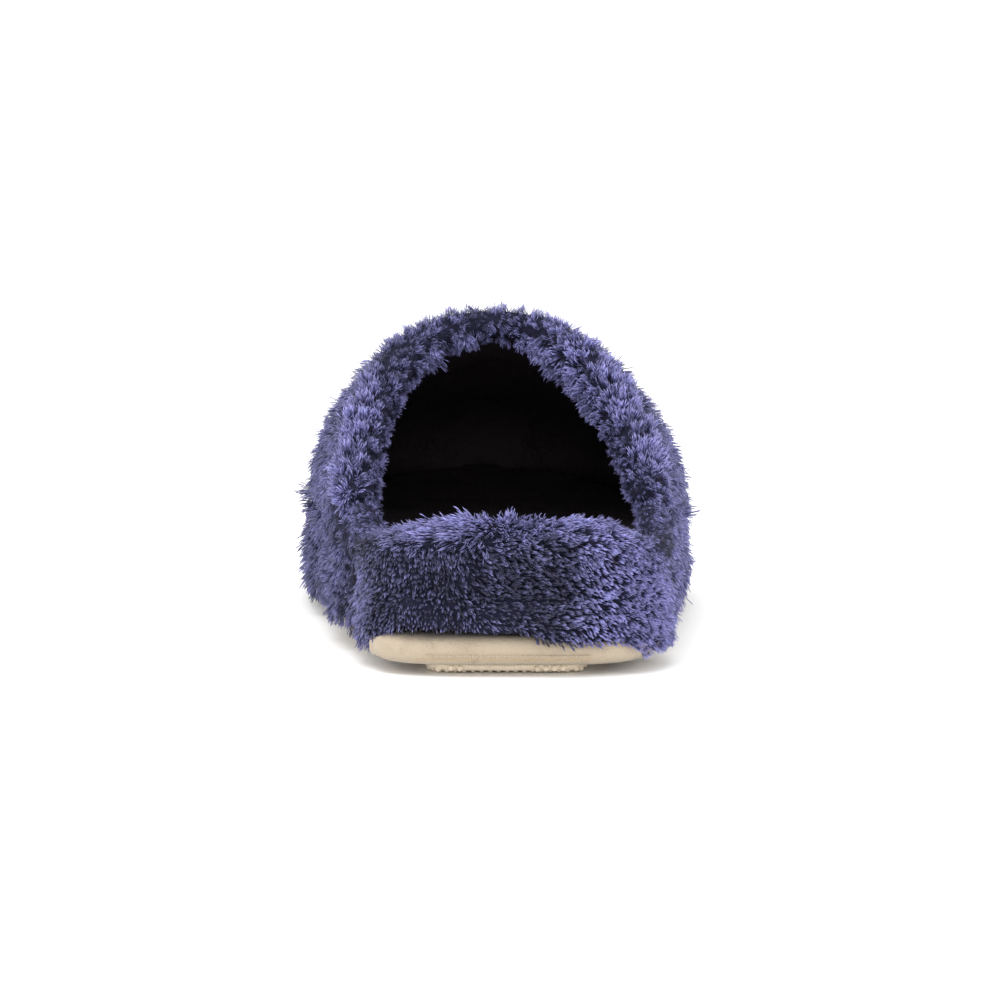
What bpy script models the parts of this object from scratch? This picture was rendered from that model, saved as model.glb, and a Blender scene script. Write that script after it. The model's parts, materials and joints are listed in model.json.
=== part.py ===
"""A terry clog slipper for the right foot, standing on its sole.

The toe points along +Y, the medial side lies at -X and +Z is up. Sizes are in metres.
Every piece is lofted from the sections of one last, so neighbours follow each other a
small gap apart: a tread, a cushioned outsole, a platform wrapped in terry, an insole,
a hollow upper that is open at the collar and underneath, and the padded rolls on its rim.
"""

import math
from collections import namedtuple

import bmesh
import bpy
import numpy as np

# Driving sizes of the last
LENGTH = 0.258
HEEL_CENTRE = 0.043
BALL = 0.178
FEATHER = 0.0240
INSET_REFERENCE = 0.048

# Powers of the superellipses that round the plan outline and arch the sections
HEEL_ROUNDNESS = 3.0
TREAD_HEEL_ROUNDNESS = 7.0
OUTSOLE_HEEL_ROUNDNESS = 4.0
TOE_ROUNDNESS = 2.15
TOE_BOX_ROUNDNESS = 2.5
FULLNESS = 2.12
FULLNESS_TO_MEDIAL = 0.18

# Sections of the last: share of the length from the heel, middle of the outline in x, half
# width at the feather line, height of the crown, and how far the crown sits from the middle
Section = namedtuple("Section", "along centre half_width crown ridge")
SECTIONS = (
    Section(0.000, 0.0034, 0.0418, 0.0870, -0.0020),
    Section(0.165, 0.0034, 0.0418, 0.0870, -0.0020),
    Section(0.240, 0.0014, 0.0450, 0.0870, -0.0025),
    Section(0.320, 0.0006, 0.0467, 0.0875, -0.0030),
    Section(0.480, 0.0002, 0.0500, 0.0868, -0.0012),
    Section(0.580, -0.0004, 0.0526, 0.0818, -0.0015),
    Section(0.690, -0.0010, 0.0538, 0.0740, -0.0020),
    Section(0.800, -0.0022, 0.0536, 0.0665, -0.0020),
    Section(1.000, -0.0060, 0.0536, 0.0590, 0.0000),
)

# The underside is flat at the heel and the ball, lifts at the arch and springs at the toe
ARCH_START = 0.085
ARCH_END = 0.135
ARCH_LIFT = 0.0015
SPRING_START = 0.192
TOE_SPRING = 0.0070

# The topline dips from the back of the heel to its sides, then climbs to the throat
HEEL_RIM = 0.0345
SIDE_DIP = 0.0030
DIP_END = 0.042
CLIMB_START = 0.0500
CLIMB_BEND = 0.006
CLIMB_SLOPE = 0.75

# Walls, rolls and the gap that neighbours keep
WALL = 0.0050
GAP = 0.0003
EDGE_UNDER_ROLL = 0.0022
ROLL_PROUD = 0.0014
ROLL_JOINT = 0.060

# The rolls are fattest round the heel and slim at the throat: distance from the heel, radius
RollSize = namedtuple("RollSize", "along radius")
ROLL_SIZES = (
    RollSize(0.006, 0.0068),
    RollSize(0.016, 0.0062),
    RollSize(0.030, 0.0050),
    RollSize(0.045, 0.0044),
    RollSize(0.070, 0.0054),
    RollSize(0.095, 0.0056),
    RollSize(0.110, 0.0058),
    RollSize(0.122, 0.0040),
)

# Locks of the pile: how far a lock's tip stands out of the wall and hangs down
LOCK_STAND = 0.0022
LOCK_HANG = 0.0020
ROLL_LOCK_STAND = 0.0012
LOCK_CLEAR_OF_ROLL = 0.0025
LOCK_LEAN = 0.05
LOCKS_FROM = -0.4

# Layers of the sole, from the bottom up: height, inset of the sides from the upper's outline,
# and inset of the two ends where it is another
Level = namedtuple("Level", "height inset ends", defaults=(None,))
TREAD_LEVELS = (
    Level(0.0000, 0.0230, 0.0110),
    Level(0.0006, 0.0222, 0.0102),
    Level(0.0030, 0.0220, 0.0100),
)
TREAD_ASIDE = -0.0020
OUTSOLE_LEVELS = (
    Level(0.0033, 0.0062),
    Level(0.0036, 0.0050),
    Level(0.0046, 0.0041),
    Level(0.0060, 0.0037),
    Level(0.0078, 0.0036),
    Level(0.0107, 0.0040),
)
PLATFORM_LEVELS = (
    Level(0.0110, 0.0030),
    Level(0.0120, 0.0014),
    Level(0.0145, 0.0004),
    Level(0.0175, 0.0000),
    Level(0.0205, 0.0002),
    Level(0.0228, 0.0010),
    Level(0.0237, 0.0020),
)
INSOLE_LEVELS = (
    Level(0.0240, 0.0064),
    Level(0.0247, 0.0058),
    Level(0.0264, 0.0058),
    Level(0.0270, 0.0066),
)

# Mesh density
BACK_ROWS = 28
FRONT_ROWS = 24
OUTER_STEPS = 18
INNER_STEPS = 5
SOLE_ROWS = 40
COLLAR_RINGS = 46
HEEL_RINGS = 26
ROLL_SIDES = 12
PATH_SAMPLES = 400
HALVINGS = 50
BACK_EASING = 1.6
WELD = 1e-6

MEDIAL = -1
LATERAL = 1

Finish = namedtuple("Finish", "colour roughness")
TERRY = Finish((0.085, 0.083, 0.205), 0.85)
CREAM = Finish((0.600, 0.500, 0.380), 0.90)
LINING = Finish((0.008, 0.007, 0.010), 0.95)


def last(column, share):
    """A column of the sections table, read smoothly at a share of the length."""
    alongs = np.array([row.along for row in SECTIONS])
    values = np.array([getattr(row, column) for row in SECTIONS])
    slopes = np.gradient(values, alongs)
    i = int(np.clip(np.searchsorted(alongs, share) - 1, 0, len(alongs) - 2))
    span = alongs[i + 1] - alongs[i]
    t = (share - alongs[i]) / span
    return (
        values[i] * (1 + 2 * t) * (1 - t) ** 2
        + values[i + 1] * t * t * (3 - 2 * t)
        + span * slopes[i] * t * (1 - t) ** 2
        - span * slopes[i + 1] * t * t * (1 - t)
    )


def rounded_end(distance, reach, power):
    """1 inside a rounded end, falling to 0 at its tip; distance runs towards the tip."""
    past = min(max(distance / reach, 0.0), 1.0)
    return (1 - past**power) ** (1 / power)


def plan_rounding(share, heel_roundness=HEEL_ROUNDNESS):
    y = share * LENGTH
    heel = rounded_end(HEEL_CENTRE - y, HEEL_CENTRE, heel_roundness)
    return heel * rounded_end(y - BALL, LENGTH - BALL, TOE_ROUNDNESS)


def lift(y):
    """How far the underside stands off the floor at the arch and under the toe."""
    if ARCH_START < y < ARCH_END:
        return ARCH_LIFT * math.sin(math.pi * (y - ARCH_START) / (ARCH_END - ARCH_START)) ** 2
    spring = max(y - SPRING_START, 0.0) / (LENGTH - SPRING_START)
    return TOE_SPRING * spring**2


def along(share, inset):
    return inset + share * (LENGTH - 2 * inset)


def outline_x(share, side, inset, heel_roundness=HEEL_ROUNDNESS):
    """The plan outline's x on one side, inset from the upper's own outline."""
    half = last("half_width", share) * plan_rounding(share, heel_roundness)
    return last("centre", share) + side * half * (1 - inset / INSET_REFERENCE)


def arch_height(share, inset):
    box = rounded_end(share * LENGTH - BALL, LENGTH - BALL, TOE_BOX_ROUNDNESS)
    return (last("crown", share) - FEATHER - inset) * box


def fullness(share, side):
    """The medial side of a section is fuller than the lateral one, and they agree at the ends."""
    return FULLNESS - side * FULLNESS_TO_MEDIAL * plan_rounding(share)


def arch_point(share, side, angle, inset=0.0):
    """A point of the arched section: angle 0 is the feather line, a right angle the crown."""
    power = 2 / fullness(share, side)
    across = max(math.cos(angle), 0.0) ** power
    up = math.sin(angle) ** power
    ridge = last("centre", share) + last("ridge", share) * plan_rounding(share)
    edge = outline_x(share, side, inset)
    y = along(share, inset)
    z = FEATHER + lift(y) + arch_height(share, inset) * up
    return np.array((ridge + (edge - ridge) * across, y, z))


def topline(y):
    """Height of the middle of the rolls along the opening."""
    dip = SIDE_DIP * math.sin(math.pi / 2 * min(y / DIP_END, 1.0)) ** 2
    climb = CLIMB_SLOPE * CLIMB_BEND * math.log1p(math.exp((y - CLIMB_START) / CLIMB_BEND))
    return HEEL_RIM - dip + climb


def rim_share(share, inset, above):
    """How far up its arch the rim lies, a given height above the rolls' middle: 1 at the crown."""
    y = along(share, inset)
    height = topline(y) + above - FEATHER - lift(y)
    room = arch_height(share, inset)
    return height / room if height < room else 1.0


def rim_angle(share, side, inset, above):
    return math.asin(rim_share(share, inset, above) ** (fullness(share, side) / 2))


def roll_radius(share):
    """Radius of the rolls at a share of the length."""
    alongs, radii = zip(*ROLL_SIZES)
    return float(np.interp(share * LENGTH, alongs, radii))


def roll_inset(share):
    """How far inside the upper's outer face the middle of a roll lies."""
    return roll_radius(share) - ROLL_PROUD


def throat_share(inset_at, above):
    """The share of the length where the rim meets the crown."""
    low, high = HEEL_CENTRE / LENGTH, BALL / LENGTH
    for _ in range(HALVINGS):
        middle = (low + high) / 2
        if rim_share(middle, inset_at(middle), above) < 1:
            low = middle
        else:
            high = middle
    return high


def upper_rows():
    """Shares of the length from the heel to the toe, close together at the heel and the toe."""
    throat = throat_share(lambda share: 0.0, EDGE_UNDER_ROLL)
    back = np.linspace(0, 1, BACK_ROWS + 1)
    back = throat * ((1 + BACK_EASING) * back**2 - BACK_EASING * back**3)
    front = np.linspace(0, 1, FRONT_ROWS + 1)[1:]
    front = throat + (1 - throat) * (front + front**2 - front**3)
    return [*back, *front]


def collection_named(name):
    made = bpy.data.collections.new(name)
    bpy.context.scene.collection.children.link(made)
    return made


def add_grid(mesh, points):
    """Adds a grid whose corners lie at points[column][row]."""
    columns, rows = len(points), len(points[0])
    made = bmesh.ops.create_grid(mesh, x_segments=columns - 1, y_segments=rows - 1, size=0.5)
    for vertex in made["verts"]:
        column = round((vertex.co.x + 0.5) * (columns - 1))
        row = round((vertex.co.y + 0.5) * (rows - 1))
        vertex.co = points[column][row]


def solid_object(name, mesh, collection, origin):
    """Welds a mesh of grids into one closed solid and puts it in the scene."""
    bmesh.ops.remove_doubles(mesh, verts=mesh.verts, dist=WELD)
    bmesh.ops.dissolve_degenerate(mesh, edges=mesh.edges, dist=WELD)
    bmesh.ops.recalc_face_normals(mesh, faces=mesh.faces)
    data = bpy.data.meshes.new(name)
    mesh.to_mesh(data)
    mesh.free()
    data.shade_smooth()
    made = bpy.data.objects.new(name, data)
    collection.objects.link(made)
    made.parent = origin
    return made


def wear(piece, finish, name):
    material = bpy.data.materials.get(name)
    if material is None:
        material = bpy.data.materials.new(name)
        material.use_nodes = True
        shader = material.node_tree.nodes["Principled BSDF"]
        shader.inputs["Base Color"].default_value = (*finish.colour, 1.0)
        shader.inputs["Roughness"].default_value = finish.roughness
        shader.inputs["Metallic"].default_value = 0.0
    piece.data.materials.append(material)


def is_lock(column, row):
    """A lock's tip stands on every second corner of every second row, staggered like shingles."""
    return row % 2 == 0 and (column + row // 2) % 2 == 0


def make_upper(collection, origin):
    """The hollow upper: an outer wall with locks, an inner wall, and the strips that join them."""
    shares = upper_rows()
    stations = [(i, share, MEDIAL) for i, share in enumerate(shares)]
    stations += [(i, share, LATERAL) for i, share in reversed(list(enumerate(shares)))]
    outer, inner = [], []
    for index, share, side in stations:
        rim = rim_angle(share, side, 0.0, EDGE_UNDER_ROLL)
        outside = []
        for step in range(OUTER_STEPS + 1):
            angle = rim * step / OUTER_STEPS
            point = arch_point(share, side, angle)
            roll_below = math.hypot(1, CLIMB_SLOPE) * roll_radius(share) + LOCK_CLEAR_OF_ROLL
            clear = point[2] < topline(point[1]) - roll_below or index > BACK_ROWS
            clear = clear and point[2] > FEATHER + lift(point[1]) + 2 * LOCK_HANG
            if clear and is_lock(index, step):
                out = point - arch_point(share, side, angle, WALL)
                down = arch_point(share, side, (1 - LOCK_LEAN) * angle) - point
                hang = LOCK_HANG if step < OUTER_STEPS else 0.0
                point = point + LOCK_STAND * out / np.linalg.norm(out)
                point = point + hang * down / np.linalg.norm(down)
            outside.append(point)
        outer.append(outside)
        inside = [rim * step / INNER_STEPS for step in range(INNER_STEPS + 1)]
        inner.append([arch_point(share, side, angle, WALL) for angle in inside])
    open_rows = [k for k, (index, _, _) in enumerate(stations) if index <= BACK_ROWS]
    mesh = bmesh.new()
    add_grid(mesh, outer)
    add_grid(mesh, inner)
    add_grid(mesh, [[outside[0], inside[0]] for outside, inside in zip(outer, inner)])
    add_grid(mesh, [[outer[k][-1], inner[k][-1]] for k in open_rows])
    upper = solid_object("upper", mesh, collection, origin)
    wear(upper, TERRY, "terry")
    return upper


class RollPath:
    """The closed line that the rolls follow round the opening, measured from the throat."""

    def __init__(self):
        throat = throat_share(roll_inset, 0.0)
        turns = [math.pi * k / PATH_SAMPLES for k in range(PATH_SAMPLES + 1)]
        shares = [throat * (1 + math.cos(turn)) / 2 for turn in turns]
        lateral = [(share, LATERAL) for share in shares]
        medial = [(share, MEDIAL) for share in reversed(shares[:-1])]
        middles, outs, radii = [], [], []
        for share, side in lateral + medial:
            inset = roll_inset(share)
            angle = rim_angle(share, side, inset, 0.0)
            middles.append(arch_point(share, side, angle, inset))
            outs.append(arch_point(share, side, angle) - arch_point(share, side, angle, 2 * inset))
            radii.append(roll_radius(share))
        self.middles = np.array(middles)
        self.outs = np.array(outs)
        self.radii = np.array(radii)
        steps = np.linalg.norm(np.diff(self.middles, axis=0), axis=1)
        self.measured = np.concatenate(([0.0], np.cumsum(steps)))
        self.length = self.measured[-1]

    def read(self, table, distance):
        turned = distance % self.length
        return np.array([np.interp(turned, self.measured, table[:, axis]) for axis in range(3)])

    def heel_joints(self):
        """Distances at which the path passes the rolls' joint, on the lateral and medial sides."""
        behind = np.flatnonzero(self.middles[:, 1] < ROLL_JOINT)
        return self.measured[behind[0]], self.measured[behind[-1]]

    def ring(self, distance, grown, locks, index):
        """One cross-section of a roll: a circle about the path, with locks on the side that shows."""
        middle = self.read(self.middles, distance)
        ahead = self.read(self.middles, distance + GAP) - self.read(self.middles, distance - GAP)
        ahead /= np.linalg.norm(ahead)
        out = self.read(self.outs, distance)
        out -= ahead * out.dot(ahead)
        out /= np.linalg.norm(out)
        away = np.cross(ahead, out)
        radius = np.interp(distance % self.length, self.measured, self.radii) + grown
        ring = []
        for side in range(ROLL_SIDES + 1):
            angle = 2 * math.pi * side / ROLL_SIDES
            shows = math.sin(angle) > LOCKS_FROM
            stand = ROLL_LOCK_STAND if locks and shows and is_lock(index, side) else 0.0
            ring.append(middle + (radius + stand) * (math.cos(angle) * out + math.sin(angle) * away))
        return ring


def make_roll(name, path, start, end, rings, collection, origin):
    """A padded roll between two distances along the path, with flat ends."""
    distances = np.linspace(start, end, rings + 1)
    points = [path.ring(d, 0.0, 0 < k < rings, k) for k, d in enumerate(distances)]
    mesh = bmesh.new()
    add_grid(mesh, points)
    bmesh.ops.remove_doubles(mesh, verts=mesh.verts, dist=WELD)
    bmesh.ops.holes_fill(mesh, edges=mesh.edges, sides=ROLL_SIDES)
    roll = solid_object(name, mesh, collection, origin)
    wear(roll, TERRY, "terry")
    return roll


def make_groove(path, collection, origin):
    """The closed ring that cuts the rolls' seat into the upper's rim, a gap wider than the rolls."""
    rings = COLLAR_RINGS + HEEL_RINGS
    points = [path.ring(path.length * k / rings, GAP, False, k) for k in range(rings + 1)]
    mesh = bmesh.new()
    add_grid(mesh, points)
    groove = solid_object("roll_groove", mesh, collection, origin)
    groove.hide_render = True
    groove.display_type = "WIRE"
    return groove


def make_layer(name, levels, finish, parts, heel_roundness=HEEL_ROUNDNESS, aside=0.0, locks=False):
    """A layer of the sole: the outline at each level, joined across at the bottom and the top."""
    collection, origin = parts
    finish_name, look = finish
    columns = []
    for k in range(SOLE_ROWS + 1):
        share = (1 - math.cos(math.pi * k / SOLE_ROWS)) / 2
        sides = {MEDIAL: [], LATERAL: []}
        for side, points in sides.items():
            for row, level in enumerate(levels):
                within = 0 < row < len(levels) - 1 and 0 < k < SOLE_ROWS
                stand = LOCK_STAND if locks and within and is_lock(k, row) else 0.0
                ends = level.inset if level.ends is None else level.ends
                x = aside + outline_x(share, side, level.inset - stand, heel_roundness)
                y = along(share, ends - stand)
                points.append(np.array((x, y, level.height + lift(y))))
        columns.append(sides[MEDIAL] + sides[LATERAL][::-1] + sides[MEDIAL][:1])
    mesh = bmesh.new()
    add_grid(mesh, columns)
    layer = solid_object(name, mesh, collection, origin)
    wear(layer, look, finish_name)
    return layer


def stand_on_origin(pieces, origin):
    """Moves the slipper so that the middle of its box's underside is at the origin."""
    bpy.context.view_layer.update()
    graph = bpy.context.evaluated_depsgraph_get()
    corners = []
    for piece in pieces:
        shown = piece.evaluated_get(graph)
        corners += [np.array(shown.matrix_world @ vertex.co) for vertex in shown.data.vertices]
    low, high = np.min(corners, axis=0), np.max(corners, axis=0)
    origin.location = (-(low[0] + high[0]) / 2, -(low[1] + high[1]) / 2, -low[2])
    bpy.context.view_layer.update()


def main():
    for stale in list(bpy.data.objects):
        bpy.data.objects.remove(stale)
    parts = collection_named("clog_slipper")
    cutters = collection_named("cutters")
    origin = bpy.data.objects.new("slipper_origin", None)
    parts.objects.link(origin)

    cream, terry, lining = ("cream", CREAM), ("terry", TERRY), ("lining", LINING)
    place = (parts, origin)
    tread = make_layer("tread", TREAD_LEVELS, cream, place, TREAD_HEEL_ROUNDNESS, TREAD_ASIDE)
    outsole = make_layer("outsole", OUTSOLE_LEVELS, cream, place, OUTSOLE_HEEL_ROUNDNESS)
    platform = make_layer("platform", PLATFORM_LEVELS, terry, place, locks=True)
    insole = make_layer("insole", INSOLE_LEVELS, lining, place)

    path = RollPath()
    lateral_joint, medial_joint = path.heel_joints()
    collar = make_roll(
        "collar", path, medial_joint + GAP, lateral_joint + path.length - GAP, COLLAR_RINGS, parts, origin
    )
    heel_roll = make_roll(
        "heel_roll", path, lateral_joint + GAP, medial_joint - GAP, HEEL_RINGS, parts, origin
    )

    upper = make_upper(parts, origin)
    seat = upper.modifiers.new("roll_seat", "BOOLEAN")
    seat.operation = "DIFFERENCE"
    seat.solver = "EXACT"
    seat.object = make_groove(path, cutters, origin)

    stand_on_origin([tread, outsole, platform, insole, collar, heel_roll, upper], origin)


main()
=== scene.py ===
import json
import math

import bmesh
import bpy
import numpy as np
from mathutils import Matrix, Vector
from mathutils.bvhtree import BVHTree
from mathutils.geometry import intersect_point_line

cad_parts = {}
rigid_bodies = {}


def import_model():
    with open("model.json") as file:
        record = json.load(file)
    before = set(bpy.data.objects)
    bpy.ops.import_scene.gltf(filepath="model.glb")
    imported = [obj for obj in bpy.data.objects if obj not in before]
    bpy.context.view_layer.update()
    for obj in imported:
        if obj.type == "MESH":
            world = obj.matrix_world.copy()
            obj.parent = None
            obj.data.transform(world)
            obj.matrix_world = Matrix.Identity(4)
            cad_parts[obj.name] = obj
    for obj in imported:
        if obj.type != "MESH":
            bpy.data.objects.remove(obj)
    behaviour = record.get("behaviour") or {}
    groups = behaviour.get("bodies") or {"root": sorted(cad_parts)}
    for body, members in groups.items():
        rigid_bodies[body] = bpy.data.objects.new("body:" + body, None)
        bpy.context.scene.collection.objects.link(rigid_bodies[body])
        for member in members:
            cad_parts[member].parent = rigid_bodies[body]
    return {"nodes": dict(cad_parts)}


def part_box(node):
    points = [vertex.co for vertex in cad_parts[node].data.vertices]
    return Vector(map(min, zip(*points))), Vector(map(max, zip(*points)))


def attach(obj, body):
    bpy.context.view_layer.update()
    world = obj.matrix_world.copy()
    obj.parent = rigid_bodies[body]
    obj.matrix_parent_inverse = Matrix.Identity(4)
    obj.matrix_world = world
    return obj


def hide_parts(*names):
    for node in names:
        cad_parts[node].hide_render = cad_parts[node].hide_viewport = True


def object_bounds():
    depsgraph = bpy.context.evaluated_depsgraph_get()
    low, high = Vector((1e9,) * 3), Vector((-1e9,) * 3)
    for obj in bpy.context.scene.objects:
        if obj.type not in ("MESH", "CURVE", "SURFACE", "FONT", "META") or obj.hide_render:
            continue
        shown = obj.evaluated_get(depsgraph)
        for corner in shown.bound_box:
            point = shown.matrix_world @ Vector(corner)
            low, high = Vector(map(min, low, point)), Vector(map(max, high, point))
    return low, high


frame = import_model()
cad_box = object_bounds()


# Tread: a thin pad of nubby cream cloth under the whole sole, sewn on along its edge.
# It is cut straight at the heel, and only its nubs touch the floor.
def merged_copy(node):
    """A bmesh of a CAD node with its loose triangles joined."""
    mesh = bmesh.new()
    mesh.from_mesh(frame["nodes"][node].data)
    bmesh.ops.remove_doubles(mesh, verts=mesh.verts, dist=1e-5)
    return mesh


def piece_from(mesh, name, finishes):
    """A new object at the origin from a bmesh, with its finishes."""
    data = bpy.data.meshes.new(name)
    mesh.to_mesh(data)
    mesh.free()
    data.shade_smooth()
    for finish in finishes:
        data.materials.append(finish)
    piece = bpy.data.objects.new(name, data)
    bpy.context.scene.collection.objects.link(piece)
    return piece


def baked(piece, *modifiers):
    """The piece's mesh with its modifiers applied, as a plain mesh."""
    graph = bpy.context.evaluated_depsgraph_get()
    data = bpy.data.meshes.new_from_object(piece.evaluated_get(graph), depsgraph=graph)
    for modifier in modifiers:
        piece.modifiers.remove(modifier)
    old = piece.data
    piece.data = data
    bpy.data.meshes.remove(old)
    data.name = piece.name
    return piece


def link(tree, outlet, inlet):
    tree.links.new(outlet, inlet)


GRAIN_SHARE = 0.7
BLOTCH_SCALE = 0.06


def cloth_finish(name, low, high, grain, depth, sheen):
    """Matt cloth: two tones mixed by a fine grain and slow blotches, with the grain as bump."""
    material = bpy.data.materials.new(name)
    material.use_nodes = True
    tree = material.node_tree
    shader = tree.nodes["Principled BSDF"]
    place = tree.nodes.new("ShaderNodeTexCoord")
    fine = tree.nodes.new("ShaderNodeTexNoise")
    fine.inputs["Scale"].default_value = 1 / grain
    fine.inputs["Detail"].default_value = 3
    slow = tree.nodes.new("ShaderNodeTexNoise")
    slow.inputs["Scale"].default_value = BLOTCH_SCALE / grain
    blend = tree.nodes.new("ShaderNodeMath")
    blend.operation = "MULTIPLY_ADD"
    blend.inputs[1].default_value = GRAIN_SHARE
    tones = tree.nodes.new("ShaderNodeValToRGB")
    tones.color_ramp.elements[0].position = 0.45
    tones.color_ramp.elements[0].color = (*low, 1)
    tones.color_ramp.elements[1].position = 0.85
    tones.color_ramp.elements[1].color = (*high, 1)
    bump = tree.nodes.new("ShaderNodeBump")
    bump.inputs["Distance"].default_value = depth
    bump.inputs["Strength"].default_value = 0.8
    link(tree, place.outputs["Object"], fine.inputs["Vector"])
    link(tree, place.outputs["Object"], slow.inputs["Vector"])
    link(tree, fine.outputs["Fac"], blend.inputs[0])
    link(tree, slow.outputs["Fac"], blend.inputs[2])
    link(tree, blend.outputs["Value"], tones.inputs["Fac"])
    link(tree, tones.outputs["Color"], shader.inputs["Base Color"])
    link(tree, fine.outputs["Fac"], bump.inputs["Height"])
    link(tree, bump.outputs["Normal"], shader.inputs["Normal"])
    shader.inputs["Roughness"].default_value = 0.95
    shader.inputs["Specular IOR Level"].default_value = 0.15
    shader.inputs["Sheen Weight"].default_value = sheen
    return material


NUB_DROP = 0.0008
NUB_PITCH = 0.0023
NUB_RADIUS = 0.0011
NUB_MARGIN = 0.3
FACES_DOWN = -0.3
LIES_FLAT = -0.8
# The tread's cloth is painted far paler than the cream cloth above it: painted light for the shade under the
# cushion's edge. Its nubs share it.
tread_cloth = cloth_finish("tread_cloth", (0.86, 0.73, 0.56), (0.95, 0.83, 0.66), 0.0005, 0.0003, 0.1)
tread_mesh = merged_copy("tread")
tread_low, tread_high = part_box("tread")
for vertex in tread_mesh.verts:
    if vertex.normal.z < FACES_DOWN:
        vertex.co.z += NUB_DROP
tread_pad = piece_from(tread_mesh, "tread_pad", [tread_cloth])
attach(tread_pad, "root")
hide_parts("tread")


def node_of(tree, kind, **settings):
    """A new node with its settings, which are set in the order given."""
    node = tree.nodes.new(kind)
    for name, value in settings.items():
        setattr(node, name, value)
    return node


def open_sockets(sockets):
    return [socket for socket in sockets if socket.enabled]


def tree_with_inputs(name, inputs):
    """An empty Geometry Nodes tree with a mesh in, a mesh out and the named inputs."""
    tree = bpy.data.node_groups.new(name, "GeometryNodeTree")
    tree.interface.new_socket("Geometry", in_out="INPUT", socket_type="NodeSocketGeometry")
    tree.interface.new_socket("Geometry", in_out="OUTPUT", socket_type="NodeSocketGeometry")
    for label, kind in inputs.items():
        tree.interface.new_socket(label, in_out="INPUT", socket_type="NodeSocket" + kind)
    return tree, tree.nodes.new("NodeGroupInput"), tree.nodes.new("NodeGroupOutput")


def grown_from(base, tree, name, values):
    """The plain mesh that a tree grows from a base mesh, as a new object at the origin."""
    piece = bpy.data.objects.new(name, base)
    bpy.context.scene.collection.objects.link(piece)
    modifier = piece.modifiers.new("grow", "NODES")
    modifier.node_group = tree
    sockets = {item.name: item.identifier for item in tree.interface.items_tree if item.in_out == "INPUT"}
    for label, value in values.items():
        modifier[sockets[label]] = value
    return baked(piece, modifier)


def finished_tree(tree, instances, into, out):
    """Ends a tree: its instances made one real mesh, shaded smooth and given the finish."""
    whole = node_of(tree, "GeometryNodeRealizeInstances")
    smooth = node_of(tree, "GeometryNodeSetShadeSmooth")
    coat = node_of(tree, "GeometryNodeSetMaterial")
    link(tree, instances, whole.inputs["Geometry"])
    link(tree, whole.outputs["Geometry"], smooth.inputs["Geometry"])
    link(tree, smooth.outputs["Geometry"], coat.inputs["Geometry"])
    link(tree, into.outputs["Finish"], coat.inputs["Material"])
    link(tree, coat.outputs["Geometry"], out.inputs["Geometry"])
    return tree


def nub_tree():
    """A small round nub on every point of a mesh."""
    tree, into, out = tree_with_inputs("tread_nubs", {"Radius": "Float", "Finish": "Material"})
    nub = node_of(tree, "GeometryNodeMeshIcoSphere")
    nub.inputs["Subdivisions"].default_value = 1
    place = node_of(tree, "GeometryNodeInstanceOnPoints")
    link(tree, into.outputs["Radius"], nub.inputs["Radius"])
    link(tree, into.outputs["Geometry"], place.inputs["Points"])
    link(tree, nub.outputs["Mesh"], place.inputs["Instance"])
    return finished_tree(tree, place.outputs["Instances"], into, out)


pad_surface = BVHTree.FromObject(tread_pad, bpy.context.evaluated_depsgraph_get())
nub_points = []
for row in range(int((tread_high.y - tread_low.y) / NUB_PITCH)):
    for column in range(int((tread_high.x - tread_low.x) / NUB_PITCH)):
        x = tread_low.x + (column + 0.5 * (row % 2) + NUB_MARGIN) * NUB_PITCH
        y = tread_low.y + (row + NUB_MARGIN) * NUB_PITCH
        spot, normal, _, _ = pad_surface.ray_cast(Vector((x, y, -0.01)), Vector((0, 0, 1)))
        if spot and normal.z < LIES_FLAT:
            nub_points.append(spot + Vector((0, 0, NUB_RADIUS - NUB_DROP)))
nub_base = bpy.data.meshes.new("tread_nubs")
nub_base.from_pydata(nub_points, [], [])
nub_values = {"Radius": NUB_RADIUS, "Finish": tread_cloth}
tread_nubs = grown_from(nub_base, nub_tree(), "tread_nubs", nub_values)
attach(tread_nubs, "root")


# Sole cushion: a soft layer wrapped in brushed cream cloth, glued under the platform.
# Its lower edge is round, and a stitched line closes the wrap at the back of the heel.
CUSHION_VOXEL = 0.0021
CUSHION_PUFF = 0.0018
CUSHION_SHIFT = 0.0018
CUSHION_FADE = 0.05
CUSHION_DROP = 0.0006
heel_back = cad_box[0][1]


def rounded(piece, voxel, passes):
    """The piece remeshed evenly and smoothed, which softens its edges."""
    remesh = piece.modifiers.new("even", "REMESH")
    remesh.mode = "VOXEL"
    remesh.voxel_size = voxel
    remesh.use_smooth_shade = True
    rounding = piece.modifiers.new("round", "SMOOTH")
    rounding.factor = 0.5
    rounding.iterations = passes
    return baked(piece, remesh, rounding)


cream_cloth = cloth_finish("cream_cloth", (0.335, 0.27, 0.196), (0.415, 0.345, 0.258), 0.0007, 0.0003, 0.2)
sole_cushion = rounded(piece_from(merged_copy("outsole"), "sole_cushion", [cream_cloth]), CUSHION_VOXEL, 4)
for vertex in sole_cushion.data.vertices:
    forward = min(max((vertex.co.y - heel_back) / CUSHION_FADE, 0.0), 1.0)
    vertex.co.x += CUSHION_PUFF * vertex.normal.x - CUSHION_SHIFT * (1 - forward)
    vertex.co.y += CUSHION_PUFF * vertex.normal.y
    vertex.co.z += CUSHION_DROP * min(vertex.normal.z, 0.0)
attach(sole_cushion, "root")
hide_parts("outsole")


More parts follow.
